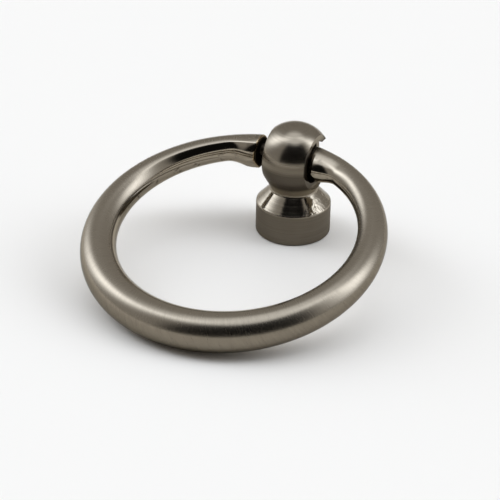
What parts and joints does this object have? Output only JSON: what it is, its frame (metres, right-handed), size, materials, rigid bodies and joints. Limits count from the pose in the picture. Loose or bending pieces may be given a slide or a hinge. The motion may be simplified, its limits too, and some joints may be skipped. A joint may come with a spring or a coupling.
{
  "type": "ring pull handle",
  "caption": "Ring pull for a drawer or cabinet door: a tapering ring swings on a cross pin in the ball head of a round post, which a screw fastens from behind.",
  "frame": {"origin": "middle of the post's base face, where it meets the drawer front", "axes": "+Z out of the mounting surface along the post, +X along the pivot pin, -Y towards the front of the ring as it lies at rest"},
  "size_m": [0.0594, 0.0617, 0.0234],
  "materials": {
    "post_satin_nickel": "zinc casting with satin nickel plating, turned and brushed",
    "ring_satin_nickel": "zinc casting with satin nickel plating, brushed across the bar, smoother inside the ring",
    "pin_steel": "plain steel, dull"
  },
  "bodies": {
    "post_body": {"post": "post_satin_nickel", "pivot_pin": "pin_steel"},
    "ring_body": {"ring": "ring_satin_nickel"}
  },
  "joints": [
    {"name": "ring_swing", "type": "hinge", "parent": "post_body", "child": "ring_body", "pos_m": [0, 0, 0.0162], "axis": [-1, 0, 0], "range_deg": [0, 207.2]}
  ]
}
